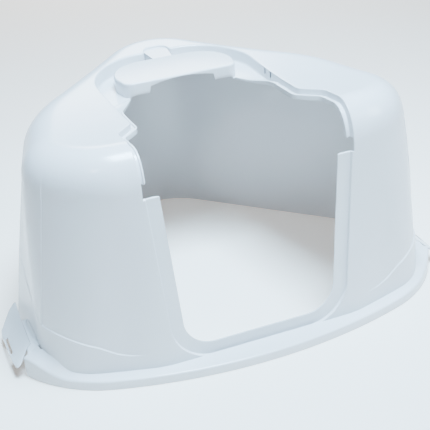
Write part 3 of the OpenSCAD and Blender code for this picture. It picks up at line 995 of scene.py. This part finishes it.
# ---------------------------------------------------------------- looks
def plastic(name, colour):
    mat = bpy.data.materials.new(name)
    mat.use_nodes = True
    nodes, links = mat.node_tree.nodes, mat.node_tree.links
    shader = nodes["Principled BSDF"]
    shader.inputs["IOR"].default_value = 1.49
    shader.inputs["Specular IOR Level"].default_value = 0.5
    place = nodes.new("ShaderNodeTexCoord")
    cloud = nodes.new("ShaderNodeTexNoise")
    cloud.inputs["Scale"].default_value = 9.0
    cloud.inputs["Detail"].default_value = 3.0
    tint = nodes.new("ShaderNodeValToRGB")
    tint.color_ramp.elements[0].position, tint.color_ramp.elements[1].position = 0.3, 0.7
    tint.color_ramp.elements[0].color = (*[c * 0.97 for c in colour], 1)
    tint.color_ramp.elements[1].color = (*colour, 1)
    rough = nodes.new("ShaderNodeMapRange")
    rough.inputs["To Min"].default_value, rough.inputs["To Max"].default_value = 0.16, 0.27
    grain = nodes.new("ShaderNodeTexNoise")
    grain.inputs["Scale"].default_value = 900.0
    grain.inputs["Detail"].default_value = 2.0
    swell = nodes.new("ShaderNodeTexNoise")
    swell.inputs["Scale"].default_value = 22.0
    swell.inputs["Detail"].default_value = 1.0
    fine, broad = nodes.new("ShaderNodeBump"), nodes.new("ShaderNodeBump")
    fine.inputs["Strength"].default_value, fine.inputs["Distance"].default_value = 0.05, 0.0002
    broad.inputs["Strength"].default_value, broad.inputs["Distance"].default_value = 0.12, 0.0008
    for noise in (cloud, grain, swell):
        links.new(place.outputs["Object"], noise.inputs["Vector"])
    links.new(cloud.outputs["Fac"], tint.inputs["Fac"])
    links.new(tint.outputs["Color"], shader.inputs["Base Color"])
    links.new(cloud.outputs["Fac"], rough.inputs["Value"])
    links.new(rough.outputs["Result"], shader.inputs["Roughness"])
    links.new(swell.outputs["Fac"], broad.inputs["Height"])
    links.new(grain.outputs["Fac"], fine.inputs["Height"])
    links.new(broad.outputs["Normal"], fine.inputs["Normal"])
    links.new(fine.outputs["Normal"], shader.inputs["Normal"])
    return mat


FLOOR_HALF = 25                                  # metres; wide enough that no view shows its edge


def studio():
    corners = [(x * FLOOR_HALF, y * FLOOR_HALF, 0) for x, y in ((-1, -1), (1, -1), (1, 1), (-1, 1))]
    floor_mesh = bpy.data.meshes.new("floor")
    floor_mesh.from_pydata(corners, [], [(0, 1, 2, 3)])
    floor = bpy.data.objects.new("floor", floor_mesh)
    bpy.context.scene.collection.objects.link(floor)
    floor.location.z = -0.0002
    mat = bpy.data.materials.new("pale_floor")
    mat.use_nodes = True
    shader = mat.node_tree.nodes["Principled BSDF"]
    shader.inputs["Base Color"].default_value = (0.76, 0.71, 0.66, 1)
    shader.inputs["Emission Color"].default_value = (1.0, 0.93, 0.86, 1)
    shader.inputs["Emission Strength"].default_value = 0.35
    shader.inputs["Roughness"].default_value = 0.9
    shader.inputs["Specular IOR Level"].default_value = 0.1
    floor.data.materials.append(mat)
    world = bpy.data.worlds.new("studio_world")
    bpy.context.scene.world = world
    world.use_nodes = True
    sky = world.node_tree.nodes["Background"]
    sky.inputs["Color"].default_value = (0.95, 0.97, 1.0, 1)
    sky.inputs["Strength"].default_value = 0.06
    centre = (0, 0, 0.12)
    # name, place, point aimed at, size, power, colour and spread in degrees
    lamps = [("key", (0.15, -0.5, 2.1), centre, 0.8, 100.0, (0.50, 0.76, 1.0), 100),
             ("right", (1.7, -1.0, 1.1), centre, 0.7, 6.0, (0.72, 0.86, 1.0), 90),
             ("streak", (-1.1, -1.3, 1.6), centre, 0.12, 0.6, (1, 1, 1), 60),
             ("backdrop", (0.7, 2.6, 1.6), (0.7, 1.9, 0), 1.2, 45.0, (1.0, 0.95, 0.9), 120)]
    for name, at, toward, size, power, colour, spread in lamps:
        data = bpy.data.lights.new(name, "AREA")
        data.color = colour
        data.spread = math.radians(spread)
        data.shape, data.size, data.energy = "SQUARE", size, power
        lamp = bpy.data.objects.new(name, data)
        lamp.location = at
        lamp.rotation_euler = (Vector(toward) - Vector(at)).to_track_quat("-Z", "Y").to_euler()
        bpy.context.scene.collection.objects.link(lamp)


# Where the photograph was taken from, in metres and degrees
CAM_AT = (-0.3844, -1.1644, 0.7436)
CAM_LENS = 80.66
CAM_YAW, CAM_PITCH, CAM_ROLL = -19.2856, 28.101, 4.4548


def camera():
    yaw, pitch, roll = (math.radians(v) for v in (CAM_YAW, CAM_PITCH, CAM_ROLL))
    ahead = Vector((-math.sin(yaw) * math.cos(pitch), math.cos(yaw) * math.cos(pitch), -math.sin(pitch)))
    right = ahead.cross(Vector((0, 0, 1))).normalized()
    down = ahead.cross(right)
    across = right * math.cos(roll) + down * math.sin(roll)
    up = right * math.sin(roll) - down * math.cos(roll)
    data = bpy.data.cameras.new("photo_camera")
    data.sensor_width, data.lens = 36.0, CAM_LENS
    data.clip_start, data.clip_end = 0.05, 50
    cam = bpy.data.objects.new("photo_camera", data)
    turn = Matrix((across, up, -ahead)).transposed().to_4x4()
    cam.matrix_world = Matrix.Translation(CAM_AT) @ turn
    bpy.context.scene.collection.objects.link(cam)
    bpy.context.scene.camera = cam


MOULDING_NODES = ["rear_corner", "left_rear_wall", "right_rear_wall", "left_side_wall", "right_side_wall",
                  "door_sill", "left_jamb", "right_jamb", "roof", "handle_recess", "left_hatch_seat",
                  "right_hatch_seat"]


def main():
    white = plastic("white_pp", (0.62, 0.62, 0.635))
    shell = build_moulding()
    build_hinge_slots(shell)
    made = [(shell, "hood", MOULDING_NODES), (build_grip(), "hood", ["carry_handle"]),
            (build_flange(), "hood", ["front_flange"]),
            (build_land(-1), "hood", []), (build_land(1), "hood", []),
            (build_bridge(-1), "hood", []), (build_bridge(1), "hood", []),
            (build_socket(-1), "hood", []), (build_socket(1), "hood", []),
            (build_tongue(-1), "left_tongue", ["left_latch"]),
            (build_tongue(1), "right_tongue", ["right_latch"])]
    for obj, body, nodes in made:
        obj.data.materials.clear()
        obj.data.materials.append(white)
        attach(obj, body)
        if nodes:
            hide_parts(*nodes)
    studio()
    camera()


main()
